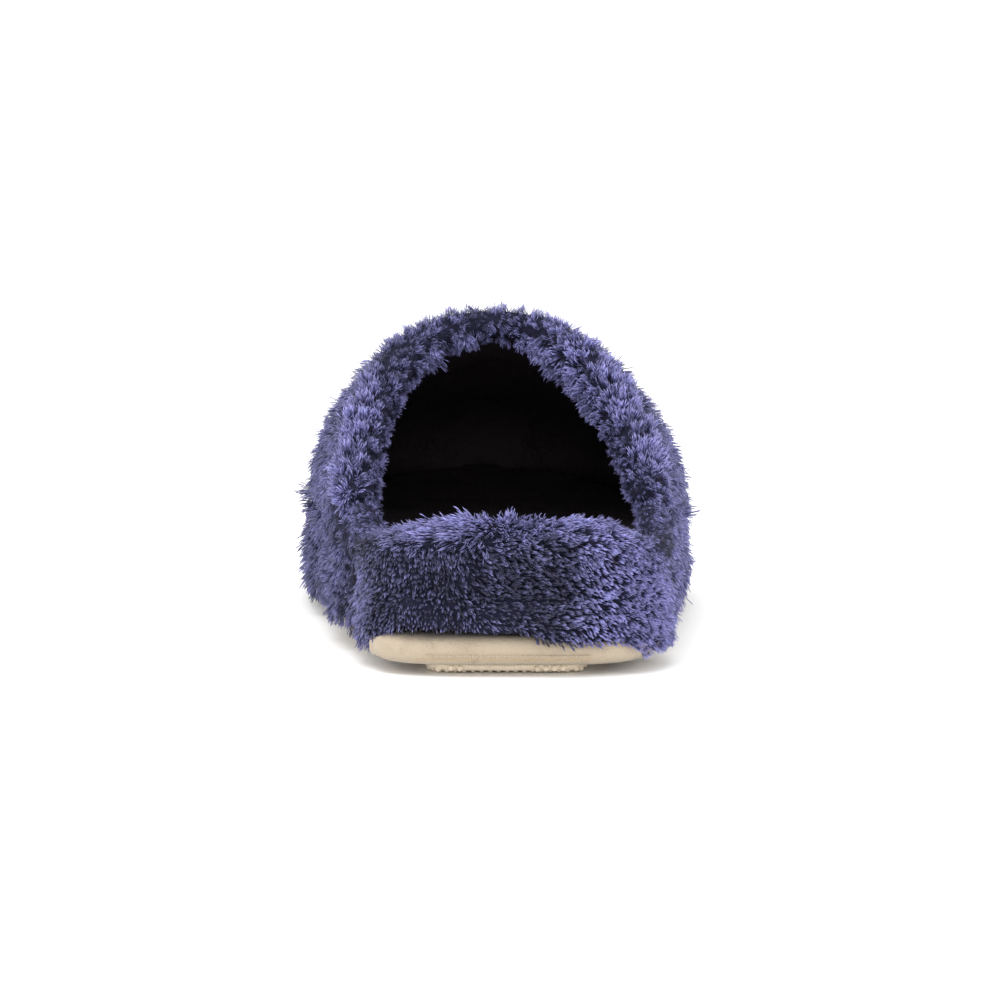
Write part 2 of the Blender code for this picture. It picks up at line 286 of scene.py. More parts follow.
def stitch_tree():
    """Stitches along a drawn line: each one a stretched bead, set along the line or across it."""
    inputs = {"Pitch": "Float", "Size": "Vector", "Finish": "Material"}
    tree, into, out = tree_with_inputs("stitches", inputs)
    line = node_of(tree, "GeometryNodeMeshToCurve")
    steps = node_of(tree, "GeometryNodeCurveToPoints", mode="LENGTH")
    bead = node_of(tree, "GeometryNodeMeshIcoSphere")
    bead.inputs["Radius"].default_value = 0.5
    bead.inputs["Subdivisions"].default_value = 2
    sew = node_of(tree, "GeometryNodeInstanceOnPoints")
    link(tree, into.outputs["Geometry"], line.inputs["Mesh"])
    link(tree, line.outputs["Curve"], steps.inputs["Curve"])
    link(tree, into.outputs["Pitch"], steps.inputs["Length"])
    link(tree, steps.outputs["Points"], sew.inputs["Points"])
    link(tree, steps.outputs["Rotation"], sew.inputs["Rotation"])
    link(tree, bead.outputs["Mesh"], sew.inputs["Instance"])
    link(tree, into.outputs["Size"], sew.inputs["Scale"])
    return finished_tree(tree, sew.outputs["Instances"], into, out)


SEAM_STEPS = 60
BEHIND = -0.3


def sewn_line(name, carrier, left, right, height, pitch, size, finish):
    """Stitches across the back of the heel, lying on the carrier at one height."""
    surface = BVHTree.FromObject(carrier, bpy.context.evaluated_depsgraph_get())
    spots = []
    for step in range(SEAM_STEPS + 1):
        x = left + (right - left) * step / SEAM_STEPS
        spots.append(surface.ray_cast(Vector((x, BEHIND, height)), Vector((0, 1, 0)))[0])
    spots = [spot for spot in spots if spot]
    base = bpy.data.meshes.new(name)
    base.from_pydata(spots, [(k, k + 1) for k in range(len(spots) - 1)], [])
    values = {"Pitch": pitch, "Size": size, "Finish": finish}
    sewn = grown_from(base, sewing_tree, name, values)
    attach(sewn, "root")


sewing_tree = stitch_tree()
tan_thread = cloth_finish("tan_thread", (0.34, 0.23, 0.12), (0.46, 0.34, 0.20), 0.0004, 0.0001, 0.0)
pale_thread = cloth_finish("pale_thread", (0.46, 0.38, 0.28), (0.56, 0.48, 0.37), 0.0004, 0.0001, 0.0)
sewn_line(
    "seam_stitches", sole_cushion, left=-0.0215, right=0.0245, height=0.0048,
    pitch=0.0013, size=(0.0005, 0.0005, 0.0012), finish=tan_thread,
)
sewn_line(
    "hem_stitches", sole_cushion, left=-0.0190, right=0.0245, height=0.0058,
    pitch=0.0007, size=(0.0022, 0.0005, 0.0004), finish=pale_thread,
)
sewn_line(
    "edge_stitches", tread_pad, left=-0.0140, right=0.0220, height=0.0026,
    pitch=0.0008, size=(0.0020, 0.0006, 0.0005), finish=pale_thread,
)


# Platform: a thick foam slab wrapped in the same terry as the upper, glued to it all round.
# The terry is a knit with long microfibre tufts, dark at the root and paler at the tip; the near black of the
# roots is painted shade deep in the pile.
def terry_finish():
    """Fibre colour from the pile's own map: across it the tuft's shade, along it root to tip."""
    material = bpy.data.materials.new("terry_pile")
    material.use_nodes = True
    tree = material.node_tree
    shader = tree.nodes["Principled BSDF"]
    chart = node_of(tree, "ShaderNodeUVMap", uv_map="OFBake")
    split = node_of(tree, "ShaderNodeSeparateXYZ")
    along = node_of(tree, "ShaderNodeValToRGB")
    # Near black at the root as painted shade deep in the pile, paler towards the tip.
    along.color_ramp.elements[0].color = (0.004, 0.004, 0.011, 1)
    along.color_ramp.elements[1].color = (0.262, 0.262, 0.565, 1)
    for position, colour in ((0.25, (0.018, 0.017, 0.052, 1)), (0.55, (0.105, 0.103, 0.290, 1))):
        along.color_ramp.elements.new(position).color = colour
    shade = node_of(tree, "ShaderNodeValToRGB")
    shade.color_ramp.elements[0].color = (0.12, 0.12, 0.12, 1)
    shade.color_ramp.elements[1].color = (1.40, 1.39, 1.34, 1)
    mix = node_of(tree, "ShaderNodeMix", data_type="RGBA", blend_type="MULTIPLY")
    mix.inputs["Factor"].default_value = 1
    tinted = open_sockets(mix.inputs)
    link(tree, chart.outputs["UV"], split.inputs["Vector"])
    link(tree, split.outputs["X"], shade.inputs["Fac"])
    link(tree, split.outputs["Y"], along.inputs["Fac"])
    link(tree, along.outputs["Color"], tinted[1])
    link(tree, shade.outputs["Color"], tinted[2])
    link(tree, open_sockets(mix.outputs)[0], shader.inputs["Base Color"])
    shader.inputs["Roughness"].default_value = 0.42
    shader.inputs["Specular IOR Level"].default_value = 0.45
    shader.inputs["Sheen Weight"].default_value = 0.12
    shader.inputs["Sheen Tint"].default_value = (0.62, 0.62, 1.0, 1)
    return material


WAIST = 0.82


def tuft(name, chance, fibres, gather, splay, thick):
    """One tuft of unit length along +Z: bowed three-sided fibres, widest at the waist near the tip."""
    points, faces, chart = [], [], []
    for number in range(fibres):
        turn = chance.uniform(0, math.tau)
        away = Vector((math.cos(turn), math.sin(turn), 0))
        stray = splay if number < fibres // 3 else 0.3 * splay
        root = gather * math.sqrt(chance.uniform(0.05, 1.0)) * away
        tip = stray * chance.uniform(0.2, 1.0) * away + Vector((0, 0, chance.uniform(0.74, 1.0)))
        waist = root.lerp(tip, WAIST) + chance.uniform(0.0, 0.06) * away
        start = len(points)
        points.append(root)
        chart.append((0.0, 0.0))
        for side in range(3):
            angle = turn + side * math.tau / 3
            points.append(waist + thick * Vector((math.cos(angle), math.sin(angle), 0)))
            chart.append((0.004 * (side - 1), WAIST))
        points.append(tip)
        chart.append((0.0, 1.0))
        for side in range(3):
            near, far = start + 1 + side, start + 1 + (side + 1) % 3
            faces.append((far, near, start))
            faces.append((near, far, start + 4))
    data = bpy.data.meshes.new(name)
    data.from_pydata(points, [], faces)
    data.shade_smooth()
    layer = data.uv_layers.new(name="OFBake")
    for loop in data.loops:
        layer.data[loop.index].uv = chart[loop.vertex_index]
    return bpy.data.objects.new(name, data)


def pile_tree():
    """Tufts set over a skin: its attributes say how dense, how long and which way they are combed.

    The tufts sway together in broad clumps. Their tips gather in small locks, whose middles are
    longer and paler than the gaps between them; the dark of the gaps is painted shade.
    """
    sizes = ("Density", "Spacing", "Clump Size", "Clump Lean", "Lock Size", "Lock Pull", "Lock Depth")
    habits = ("Mess", "Stand", "Patches", "Variety", "Row Pitch")
    inputs = {"Tufts": "Collection"}
    inputs.update(dict.fromkeys(sizes + habits, "Float"))
    inputs.update({"Seed": "Int", "Finish": "Material"})
    tree, into, out = tree_with_inputs("terry_tufts", inputs)

    def attribute(name, kind):
        node = node_of(tree, "GeometryNodeInputNamedAttribute", data_type=kind)
        node.inputs["Name"].default_value = name
        return open_sockets(node.outputs)[0]

    def number(operation, first, second, third=None):
        node = node_of(tree, "ShaderNodeMath", operation=operation)
        for socket, value in zip(node.inputs, (first, second, third)):
            if isinstance(value, float):
                socket.default_value = value
            elif value is not None:
                link(tree, value, socket)
        return node.outputs[0]

    def chance(kind, low, high, offset):
        node = node_of(tree, "FunctionNodeRandomValue", data_type=kind)
        sockets = open_sockets(node.inputs)
        sockets[0].default_value = low
        sockets[1].default_value = high
        link(tree, number("ADD", into.outputs["Seed"], float(offset)), node.inputs["Seed"])
        return open_sockets(node.outputs)[0]

    def vector(operation, first, second=None, scale=None):
        node = node_of(tree, "ShaderNodeVectorMath", operation=operation)
        link(tree, first, node.inputs[0])
        if second is not None:
            link(tree, second, node.inputs[1])
        if scale is not None:
            link(tree, scale, node.inputs["Scale"])
        return node.outputs["Vector"]

    def store(geometry, name, kind, domain, value):
        node = node_of(tree, "GeometryNodeStoreNamedAttribute", data_type=kind, domain=domain)
        node.inputs["Name"].default_value = name
        link(tree, geometry, node.inputs["Geometry"])
        link(tree, value, open_sockets(node.inputs)[-1])
        return node.outputs["Geometry"]

    # The roots, scattered evenly and drawn towards level rows.
    scatter = node_of(tree, "GeometryNodeDistributePointsOnFaces", distribute_method="POISSON")
    link(tree, into.outputs["Geometry"], scatter.inputs["Mesh"])
    link(tree, into.outputs["Spacing"], scatter.inputs["Distance Min"])
    link(tree, into.outputs["Density"], scatter.inputs["Density Max"])
    link(tree, attribute("pile", "FLOAT"), scatter.inputs["Density Factor"])
    link(tree, into.outputs["Seed"], scatter.inputs["Seed"])
    normal = scatter.outputs["Normal"]
    here = node_of(tree, "GeometryNodeInputPosition").outputs[0]
    level = node_of(tree, "ShaderNodeSeparateXYZ")
    link(tree, here, level.inputs["Vector"])
    course = number("SNAP", level.outputs["Z"], into.outputs["Row Pitch"])
    shift = number("SUBTRACT", course, level.outputs["Z"])
    rise = node_of(tree, "ShaderNodeCombineXYZ")
    link(tree, number("MULTIPLY", shift, attribute("rows", "FLOAT")), rise.inputs["Z"])
    rows = node_of(tree, "GeometryNodeSetPosition")
    link(tree, scatter.outputs["Points"], rows.inputs["Geometry"])
    link(tree, rise.outputs["Vector"], rows.inputs["Offset"])

    # The clumps and the locks.
    clump = node_of(tree, "ShaderNodeTexNoise")
    clump.inputs["Detail"].default_value = 2
    link(tree, here, clump.inputs["Vector"])
    link(tree, number("DIVIDE", 1.0, into.outputs["Clump Size"]), clump.inputs["Scale"])
    centred = node_of(tree, "ShaderNodeVectorMath", operation="SUBTRACT")
    centred.inputs[1].default_value = (0.5, 0.5, 0.5)
    link(tree, clump.outputs["Color"], centred.inputs[0])
    swirl = vector("SCALE", centred.outputs[0], scale=into.outputs["Clump Lean"])
    locks = node_of(tree, "ShaderNodeTexVoronoi")
    link(tree, here, locks.inputs["Vector"])
    link(tree, number("DIVIDE", 1.0, into.outputs["Lock Size"]), locks.inputs["Scale"])
    across = vector("SUBTRACT", locks.outputs["Position"], here)
    across = vector("SUBTRACT", across, vector("PROJECT", across, normal))
    pull = number("DIVIDE", into.outputs["Lock Pull"], into.outputs["Lock Size"])
    # Lock middles are longer and paler; the darker gaps between locks are painted shade.
    middle = number("SUBTRACT", 0.5, locks.outputs["Distance"])
    core = number("MULTIPLY", middle, into.outputs["Lock Depth"])

    # The way each tuft points and its length.
    stray = chance("FLOAT_VECTOR", (-1, -1, -1), (1, 1, 1), 1)
    loose = vector("SCALE", stray, scale=into.outputs["Mess"])
    upright = vector("SCALE", normal, scale=into.outputs["Stand"])
    combed = vector("ADD", upright, attribute("comb", "FLOAT_VECTOR"))
    gathered = vector("ADD", combed, vector("SCALE", across, scale=pull))
    way = vector("ADD", vector("ADD", gathered, swirl), loose)
    aim = node_of(tree, "FunctionNodeAlignRotationToVector", axis="Z")
    link(tree, way, aim.inputs["Vector"])
    spin = node_of(tree, "FunctionNodeAxisAngleToRotation")
    link(tree, chance("FLOAT", 0.0, math.tau, 2), spin.inputs["Angle"])
    turned = node_of(tree, "FunctionNodeRotateRotation", rotation_space="LOCAL")
    link(tree, aim.outputs["Rotation"], turned.inputs["Rotation"])
    link(tree, spin.outputs["Rotation"], turned.inputs["Rotate By"])
    reach = attribute("reach", "FLOAT")
    grown = number("MULTIPLY_ADD", reach, core, reach)
    length = number("MULTIPLY", grown, chance("FLOAT", 0.75, 1.2, 3))

    # The tufts, picked by chance and planted.
    tufts = node_of(tree, "GeometryNodeCollectionInfo", transform_space="ORIGINAL")
    tufts.inputs["Separate Children"].default_value = True
    tufts.inputs["Reset Children"].default_value = True
    link(tree, into.outputs["Tufts"], tufts.inputs["Collection"])
    plant = node_of(tree, "GeometryNodeInstanceOnPoints")
    plant.inputs["Pick Instance"].default_value = True
    link(tree, rows.outputs["Geometry"], plant.inputs["Points"])
    link(tree, tufts.outputs["Instances"], plant.inputs["Instance"])
    link(tree, chance("INT", 0, 999, 4), plant.inputs["Instance Index"])
    link(tree, turned.outputs["Rotation"], plant.inputs["Rotation"])
    link(tree, length, plant.inputs["Scale"])

    # Each tuft's shade, which moves its fibres sideways on the map that the finish reads. It sums the plan's
    # tone with its painted light and shade, the painted shade between locks, clump patches and chance.
    patch = number("SUBTRACT", clump.outputs["Fac"], 0.5)
    tone = number("ADD", attribute("tone", "FLOAT"), core)
    patched = number("MULTIPLY_ADD", patch, into.outputs["Patches"], tone)
    toned = number("MULTIPLY_ADD", chance("FLOAT", -1.0, 1.0, 5), into.outputs["Variety"], patched)
    within = node_of(tree, "ShaderNodeClamp")
    within.inputs["Min"].default_value = 0.01
    within.inputs["Max"].default_value = 0.99
    link(tree, toned, within.inputs["Value"])
    shaded = store(plant.outputs["Instances"], "shade", "FLOAT", "INSTANCE", within.outputs[0])
    whole = node_of(tree, "GeometryNodeRealizeInstances")
    link(tree, shaded, whole.inputs["Geometry"])
    aside = node_of(tree, "ShaderNodeCombineXYZ")
    link(tree, attribute("shade", "FLOAT"), aside.inputs["X"])
    moved = vector("ADD", attribute("OFBake", "FLOAT_VECTOR"), aside.outputs["Vector"])
    charted = store(whole.outputs["Geometry"], "OFBake", "FLOAT2", "CORNER", moved)
    coat = node_of(tree, "GeometryNodeSetMaterial")
    link(tree, charted, coat.inputs["Geometry"])
    link(tree, into.outputs["Finish"], coat.inputs["Material"])
    link(tree, coat.outputs["Geometry"], out.inputs["Geometry"])
    return tree


def smoothed(mesh, passes, fixed=lambda vertex: False):
    """Works the solid locks of a merged CAD copy down into an even skin."""
    free = [vertex for vertex in mesh.verts if not fixed(vertex)]
    for _ in range(passes):
        bmesh.ops.smooth_vert(
            mesh, verts=free, factor=0.5, use_axis_x=True, use_axis_y=True, use_axis_z=True
        )
    mesh.normal_update()
    return mesh


COARSE_SKIN = 8000
OVERSOWN = 2.5
SPACING = 0.70
PATCHES = 0.7
ROW_PITCH = 0.0014


def pile_on(
    skin, name, kinds, plan, seed, density, clump=0.007, lean=1.6, mess=0.35, stand=0.6,
    variety=0.2, lock=0.0038, pull=1.6, depth=0.7,
):
    """Grows a pile piece from a skin, with about density tufts to the square metre.

    For a point and its normal, plan gives the pile's share of that density, its reach, how far
    it stands in rows, its tone and the way it is combed.
    """
    mesh = bmesh.new()
    mesh.from_mesh(skin.data)
    if len(mesh.faces) < COARSE_SKIN:
        bmesh.ops.subdivide_edges(mesh, edges=mesh.edges, cuts=1, use_grid_fill=True)
    base = bpy.data.meshes.new(name)
    mesh.to_mesh(base)
    mesh.free()
    spots = [list(plan(vertex.co, vertex.normal)) for vertex in base.vertices]
    for vertex, spot in zip(base.vertices, spots):
        shift, share = marked(vertex.co)
        spot[1] *= share
        spot[3] += shift
        comb = spot[-1]
        comb -= vertex.normal * min(comb.dot(vertex.normal), 0.0)
    labels = ("pile", "reach", "rows", "tone", "comb")
    for column, label in enumerate(labels):
        kind, field = ("FLOAT_VECTOR", "vector") if label == "comb" else ("FLOAT", "value")
        layer = base.attributes.new(label, kind, "POINT")
        layer.data.foreach_set(field, np.array([spot[column] for spot in spots], np.float32).ravel())
    values = {
        "Tufts": kinds,
        "Density": OVERSOWN * density,
        "Spacing": SPACING / math.sqrt(density),
        "Clump Size": clump,
        "Clump Lean": lean,
        "Lock Size": lock,
        "Lock Pull": pull,
        "Lock Depth": depth,
        "Mess": mess,
        "Stand": stand,
        "Patches": PATCHES,
        "Variety": variety,
        "Row Pitch": ROW_PITCH,
        "Seed": seed,
        "Finish": terry_pile,
    }
    pile = grown_from(base, terry_tree, name, values)
    for label in (*labels, "shade"):
        if label in pile.data.attributes:
            pile.data.attributes.remove(pile.data.attributes[label])
    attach(pile, "root")


def marked(spot):
    """How much the creases, locks and bumps change the tone and length at a point."""
    tone, share = 0.0, 1.0
    for line, width, shift, change in MARKS:
        gap = 1.0
        for start, end in zip(line, line[1:]):
            start, end = Vector(start), Vector(end)
            along = intersect_point_line(spot, start, end)[1]
            near = start.lerp(end, min(max(along, 0.0), 1.0))
            gap = min(gap, (spot - near).length)
        weight = math.exp(-((gap / width) ** 2))
        tone += shift * weight
        share += change * weight
    return tone, share


def tree_of(node):
    """A CAD node's surface, for rays and nearest points."""
    mesh = merged_copy(node)
    found = BVHTree.FromBMesh(mesh)
    mesh.free()
    return found


def eased(value, low, high):
    """0 below low, 1 above high, smooth between."""
    share = min(max((value - low) / (high - low), 0.0), 1.0)
    return share * share * (3 - 2 * share)


def evened(table, passes, axis, closed):
    """A table with each value averaged with its neighbours along an axis, some times over."""
    for _ in range(passes):
        before, after = np.roll(table, 1, axis), np.roll(table, -1, axis)
        if not closed:
            before[:, 0], after[:, -1] = table[:, 0], table[:, -1]
        table = 0.25 * before + 0.5 * table + 0.25 * after
    return table


MEDIAL_CREASE = (
    (-0.030, -0.025, 0.079),
    (-0.036, -0.026, 0.072),
    (-0.041, -0.018, 0.065),
    (-0.046, -0.008, 0.056),
)
LATERAL_CREASE = ((0.028, -0.012, 0.080), (0.037, -0.012, 0.070), (0.043, -0.016, 0.060))
LEFT_CORNER = (
    (-0.0305, -0.112, 0.0415),
    (-0.036, -0.106, 0.0365),
    (-0.0415, -0.080, 0.028),
    (-0.0435, -0.072, 0.014),
)
RIGHT_CORNER = (
    (0.0395, -0.1145, 0.0395),
    (0.044, -0.110, 0.036),
    (0.0485, -0.080, 0.0275),
    (0.050, -0.070, 0.014),
)
LIGHT_LOCKS = (
    ((-0.0417, -0.070, 0.042), (-0.0440, -0.060, 0.050)),
    ((-0.0376, -0.053, 0.0575), (-0.0385, -0.045, 0.063)),
    ((-0.0464, -0.024, 0.047), (-0.0490, -0.020, 0.056)),
    ((0.0218, -0.0256, 0.0776), (0.0266, -0.0218, 0.0804)),
    ((0.0317, -0.0427, 0.0651), (0.0341, -0.0485, 0.0606)),
)
LEFT_RIDGE = (
    (-0.0345, -0.117, 0.038),
    (-0.0395, -0.110, 0.032),
    (-0.0415, -0.106, 0.026),
    (-0.0420, -0.104, 0.013),
)
RIGHT_BUMP = ((0.052, -0.014, 0.030), (0.0525, -0.004, 0.0225))
# Each mark is a line, its width, how much it shifts the tone and how much it changes the length. The darker
# creases and corners are painted shade; the paler left ridge is a painted highlight.
MARKS = (
    (MEDIAL_CREASE, 0.006, -0.45, -0.25),
    (LATERAL_CREASE, 0.006, -0.40, -0.20),
    (LEFT_CORNER, 0.0046, -0.50, -0.50),
    (RIGHT_CORNER, 0.0058, -0.75, -0.50),
    *((lock, 0.003, 0.30, 0.20) for lock in LIGHT_LOCKS),
    (LEFT_RIDGE, 0.0030, 0.30, 0.15),
    (RIGHT_BUMP, 0.0065, 0.10, 0.55),
)
terry_pile = terry_finish()
# The knit ground under the pile: its own dark navy deepened to near black, as painted shade in the gaps
# between tufts.
terry_ground = cloth_finish("terry_ground", (0.004, 0.004, 0.010), (0.012, 0.012, 0.028), 0.0012, 0.0005, 0.0)
terry_tree = pile_tree()
luck = np.random.default_rng(5)
short_tufts = bpy.data.collections.new("short_tufts")
long_tufts = bpy.data.collections.new("long_tufts")
for kind in range(6):
    short_tufts.objects.link(tuft(f"short_tuft_{kind}", luck, 5, 0.07, 0.10 + 0.02 * kind, 0.050))
    long_tufts.objects.link(tuft(f"long_tuft_{kind}", luck, 7, 0.16, 0.24 + 0.05 * kind, 0.026))

near_platform = tree_of("platform")
near_upper = tree_of("upper")
near_collar = tree_of("collar")
near_heel_roll = tree_of("heel_roll")

STATIONS = 300
EDGE_RAYS = 720
EDGE_HEIGHT = 0.0185
EDGE_INSET = 0.006
SWEEP = 0.20
CLEAR = 0.04
UP = Vector((0, 0, 1))
DOWN = Vector((0, 0, -1))
edge = []
for turn in range(EDGE_RAYS):
    angle = math.tau * turn / EDGE_RAYS
    way = Vector((math.cos(angle), math.sin(angle), 0))
    edge.append(near_platform.ray_cast(Vector((0, 0, EDGE_HEIGHT)) + SWEEP * way, -way)[0])
edge = np.array([spot for spot in edge if spot])[:, :2]
edge = evened(edge, 6, 0, True)
steps = np.linalg.norm(np.roll(edge, -1, 0) - edge, axis=1)
measured = np.concatenate(([0.0], np.cumsum(steps)))
stops = np.linspace(0, measured[-1], STATIONS, endpoint=False)
looped = np.vstack((edge, edge[:1]))
outline = np.stack([np.interp(stops, measured, looped[:, axis]) for axis in range(2)], axis=1)
ahead = np.roll(outline, -1, 0) - np.roll(outline, 1, 0)
outward = np.stack((ahead[:, 1], -ahead[:, 0]), axis=1)
outward /= np.linalg.norm(outward, axis=1)[:, None]

WRAP_ROWS = 16
WRAP_THICK = 0.0012
WRAP_SINK = 0.0012
WRAP_HEIGHT = 0.0200
LEAST_PROUD = -0.004
LOWEST_RAY = 0.0065
ROLL_LAP = 0.0040
HEM_LIFT = 0.0028
HEM_DROP = 0.0034
MEDIAL_LIFT = 0.0014
RIGHT_DROP = 0.0042
RIGHT_CORNER_DROP = 0.0078
LEFT_CORNER_DROP = 0.0018
lows, highs = [], []
for spot, way in zip(outline, outward):
    inside = Vector((*(spot - EDGE_INSET * way), 0))
    bottom = near_platform.ray_cast(inside - Vector((0, 0, 0.01)), UP)[0].z
    forward = spot[1] - heel_back
    back = 1 - eased(forward, 0.006, 0.024)
    dropped = RIGHT_DROP * eased(spot[0], 0.006, 0.014)
    dropped += RIGHT_CORNER_DROP * eased(spot[0], 0.036, 0.041)
    dropped += LEFT_CORNER_DROP * eased(-spot[0], 0.034, 0.040)
    medial = eased(-spot[0], 0.020, 0.035) * (1 - eased(forward, 0.080, 0.120))
    medial *= eased(forward, 0.018, 0.045)
    lows.append(bottom + back * (HEM_LIFT - dropped) - (HEM_DROP - MEDIAL_LIFT * medial) * (1 - back))
    roll = near_heel_roll.ray_cast(inside + Vector((0, 0, 0.2)), DOWN)[0]
    highs.append(roll.z - ROLL_LAP if roll else bottom + WRAP_HEIGHT)
lows = evened(np.array(lows)[:, None], 4, 0, True)[:, 0]
highs = evened(np.array(highs)[:, None], 6, 0, True)[:, 0]
levels = lows[:, None] + (highs - lows)[:, None] * np.linspace(0, 1, WRAP_ROWS + 1)
proud = np.full((STATIONS, WRAP_ROWS + 1), -1.0)
for s in range(STATIONS):
    way = Vector((*outward[s], 0))
    for row in range(WRAP_ROWS + 1):
        height = max(levels[s, row], lows[s] + LOWEST_RAY)
        start = Vector((*outline[s], height)) + CLEAR * way
        for surface in (near_platform, near_upper, near_heel_roll):
            spot = surface.ray_cast(start, -way)[0]
            if spot:
                proud[s, row] = max(proud[s, row], CLEAR - (spot - start).length)
proud = np.maximum(proud, LEAST_PROUD)
proud = np.maximum(proud, np.maximum(np.roll(proud, 1, 0), np.roll(proud, -1, 0)))
proud = evened(evened(proud, 3, 0, True), 4, 1, False) - WRAP_SINK

wrap_mesh = bmesh.new()
walls = []
for inset in (0.0, WRAP_THICK):
    wall = []
    for s in range(STATIONS):
        plan_spots = outline[s] + (proud[s] - inset)[:, None] * outward[s]
        wall.append([wrap_mesh.verts.new((*plan, z)) for plan, z in zip(plan_spots, levels[s])])
    walls.append(wall)
for s in range(STATIONS):
    outer, inner = walls[0][s], walls[1][s]
    outer_next, inner_next = walls[0][(s + 1) % STATIONS], walls[1][(s + 1) % STATIONS]
    for row in range(WRAP_ROWS):
        above = row + 1
        wrap_mesh.faces.new((outer[row], outer_next[row], outer_next[above], outer[above]))
        wrap_mesh.faces.new((inner_next[row], inner[row], inner[above], inner_next[above]))
    wrap_mesh.faces.new((inner[0], inner_next[0], outer_next[0], outer[0]))
    wrap_mesh.faces.new((outer[-1], outer_next[-1], inner_next[-1], inner[-1]))
bmesh.ops.recalc_face_normals(wrap_mesh, faces=wrap_mesh.faces)
near_wrap = BVHTree.FromBMesh(wrap_mesh)
terry_wrap = piece_from(wrap_mesh, "terry_wrap", [terry_ground])
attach(terry_wrap, "root")


def wrap_plan(part):
    """Rows of short tufts behind the heel, combed down at its left and aside from its middle on.

    The heel's right shoulder has fuller tufts, paler with painted light, and the sides have the longest.
    """
    def plan(spot, normal):
        s = int(np.argmin(np.hypot(*(outline - np.array(spot[:2])).T)))
        shows = Vector((*outward[s], 0)).dot(normal) > 0.2
        side = eased(spot.y - heel_back, 0.022, 0.040)
        heel = 1 - eased(spot.y - heel_back, 0.034, 0.052)
        low = 1 - eased(spot.z - lows[s], 0.0, 0.006)
        right = eased(spot.x, -0.016, 0.002)
        far_right = eased(spot.x, 0.014, 0.030)
        ball = eased(spot.y, -0.02, 0.03) * (1.0 if spot.x < 0 else 0.0)
        side_comb = Vector((0, 0, -1.1 - 0.5 * low))
        # Painted light: the sides grow paler towards the right.
        side_tone = 0.42 + 0.18 * eased(spot.x, 0.0, 0.02)
        if part == "side":
            return (side if shows else 0.0), 0.0045 + 0.0016 * ball, 0.0, side_tone, side_comb
        turning = eased(spot.y - heel_back, 0.016, 0.040)
        trimmed = 0.0008 * low * (1 - eased(spot.x, 0.034, 0.040))
        reach = 0.0025 + 0.0013 * right * (1 - 0.4 * far_right) - trimmed
        fall = -0.8 + 0.80 * right - 0.6 * far_right - (0.8 - 0.4 * right) * low
        comb = Vector((0.15 + 0.75 * right, 0, fall))
        # The tone is painted light and shade: dark across the heel's left and middle, pale on the right
        # shoulder, with a painted highlight along the top and the left edge; paler along the hem.
        rim_highlight = eased(spot.z, 0.030, 0.037) + eased(-spot.x, 0.032, 0.042)
        tone = 0.10 - 0.10 * right * (1 - far_right) + 0.80 * far_right + 0.16 * min(rim_highlight, 1.0)
        tone += 0.20 * low * (1 - far_right)
        reach += (0.0044 - reach) * turning
        tone += (side_tone - tone) * turning
        rows = 0.7 * (1 - 0.5 * right) * (1 - far_right) * (1 - low)
        shoulder = eased(spot.x, 0.024, 0.036)
        heel *= shoulder if part == "shoulder" else 1 - shoulder
        return (heel if shows else 0.0), reach, rows, tone, comb.lerp(side_comb, turning)
    return plan


pile_on(
    terry_wrap, "heel_pile", short_tufts, wrap_plan("heel"), 11, 1300000, clump=0.006, lean=0.8,
    mess=0.3, stand=0.7, variety=0.34, lock=0.0019, pull=0.4, depth=0.4,
)
pile_on(
    terry_wrap, "shoulder_pile", long_tufts, wrap_plan("shoulder"), 13, 900000, lean=0.9,
    mess=0.5, stand=0.6, variety=0.26, lock=0.0026, pull=0.5, depth=0.5,
)
pile_on(
    terry_wrap, "side_pile", long_tufts, wrap_plan("side"), 12, 280000,
    mess=0.5, stand=0.5, variety=0.3, pull=0.5, depth=0.4,
)
platform_core = piece_from(smoothed(merged_copy("platform"), 4), "platform_core", [terry_ground])
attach(platform_core, "root")
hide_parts("platform")


# Footbed: a thin padded insole in a near black brushed lining, laid on the platform.
# It is hidden in the dark of the slipper, and seen only from above through the opening.
FOOTBED_VOXEL = 0.0025
lining_cloth = cloth_finish("lining_cloth", (0.022, 0.018, 0.020), (0.050, 0.040, 0.045), 0.0010, 0.0004, 0.0)
footbed = rounded(piece_from(merged_copy("insole"), "footbed", [lining_cloth]), FOOTBED_VOXEL, 3)
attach(footbed, "root")
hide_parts("insole")


# Upper: vamp, sides and low heel wall in one, two cloths with thin wadding between them.
# Outside is the shaggy terry, inside the near black lining; it is sewn to the platform below.
HEART_HEIGHT = 0.035
HEART_BACK = -0.088
HEART_FRONT = 0.080
FLEX_LINES = ((0.010, 0.030), (0.036, 0.054))
FLEX_REACH = 0.045
FLEX_WIDTH = 0.0065
FLEX_DEPTH = 0.0018
PAINTED_TROUGH_SHADE = 120


def faces_out(spot, normal):
    """Whether a point of the upper's wall is on the terry side."""
    heart = Vector((0, min(max(spot.y, HEART_BACK), HEART_FRONT), HEART_HEIGHT))
    return normal.dot(spot - heart) > 0


def flexed(spot):
    """Depth of the soft troughs that walking leaves across the vamp, with a low ridge before each."""
    depth = 0.0
    for line in FLEX_LINES:
        middle = line[1] + (line[0] - line[1]) * (spot.x / FLEX_REACH) ** 2
        gap = (spot.y - middle) / FLEX_WIDTH
        depth += FLEX_DEPTH * (math.exp(-gap * gap) - 0.6 * math.exp(-((gap - 1.7) ** 2)))
    return depth


